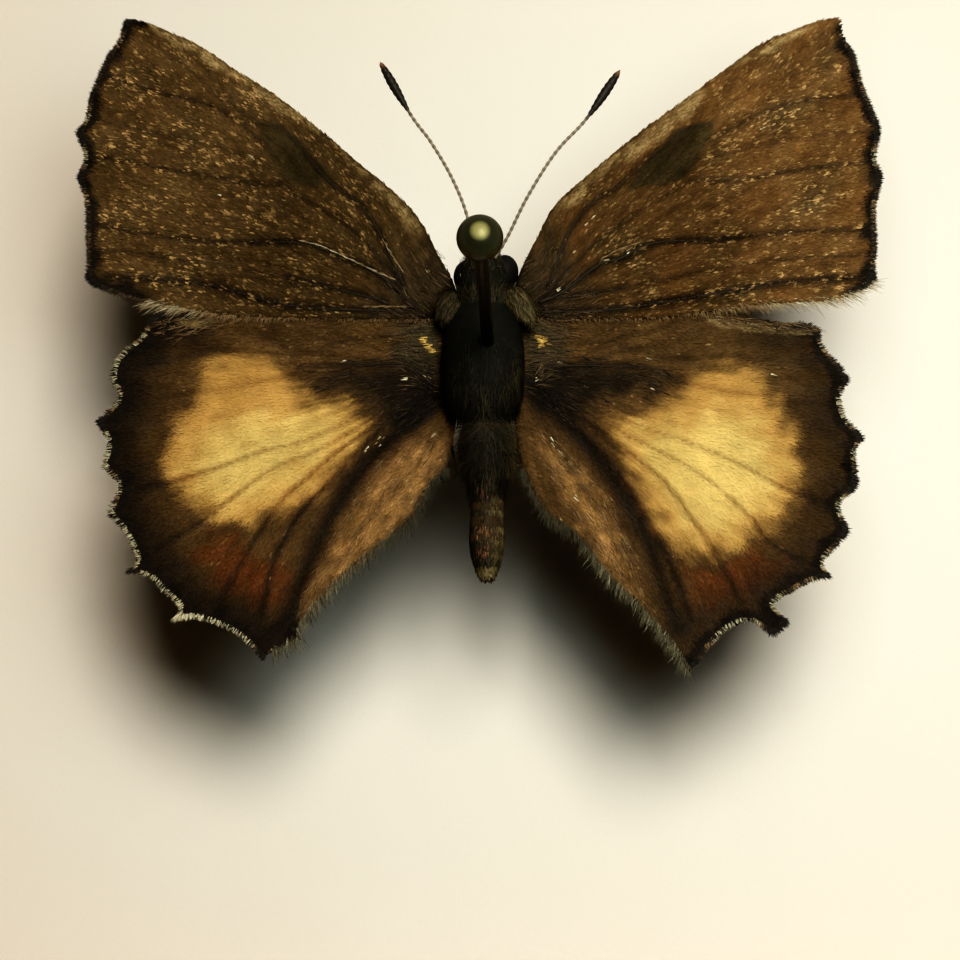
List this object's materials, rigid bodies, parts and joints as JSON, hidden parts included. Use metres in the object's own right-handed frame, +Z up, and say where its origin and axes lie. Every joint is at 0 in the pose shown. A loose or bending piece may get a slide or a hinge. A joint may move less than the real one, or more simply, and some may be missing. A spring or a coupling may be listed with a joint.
{
  "type": "pinned butterfly in a collection drawer",
  "caption": "Pinned butterfly with spread wings above a cream paper lining, standing in a small low-walled wooden collection drawer with a turned knob.",
  "frame": {"origin": "underside of the bottom board, in the middle of the box round the drawer and its knob", "axes": "+Z up, -Y towards the drawer's front and knob, +Y towards the butterfly's head, +X to the right of the picture"},
  "size_m": [0.066, 0.073, 0.0385],
  "materials": {
    "oak": "satin",
    "plywood": "matte",
    "foam": "matte",
    "lining": "matte",
    "brass": "satin",
    "forewing": "matte",
    "hindwing": "matte",
    "body": "matte",
    "abdomen": "matte",
    "limb": "matte",
    "pin_steel": "satin",
    "pin_plastic": "gloss"
  },
  "bodies": {
    "root": {"drawer_front": "oak", "drawer_back": "oak", "drawer_side_left": "oak", "drawer_side_right": "oak", "bottom_board": "plywood", "pinning_foam": "foam", "paper_lining": "lining", "front_knob": "brass", "forewing_left": "forewing", "forewing_right": "forewing", "hindwing_left": "hindwing", "hindwing_right": "hindwing", "head": "body", "thorax": "body", "abdomen": "abdomen", "antenna_left": "limb", "antenna_right": "limb", "palp_left": "limb", "palp_right": "limb", "fore_leg_left": "limb", "fore_leg_right": "limb", "mid_leg_left": "limb", "mid_leg_right": "limb", "hind_leg_left": "limb", "hind_leg_right": "limb", "pin_shaft": "pin_steel", "pin_head": "pin_plastic"}
  },
  "joints": []
}
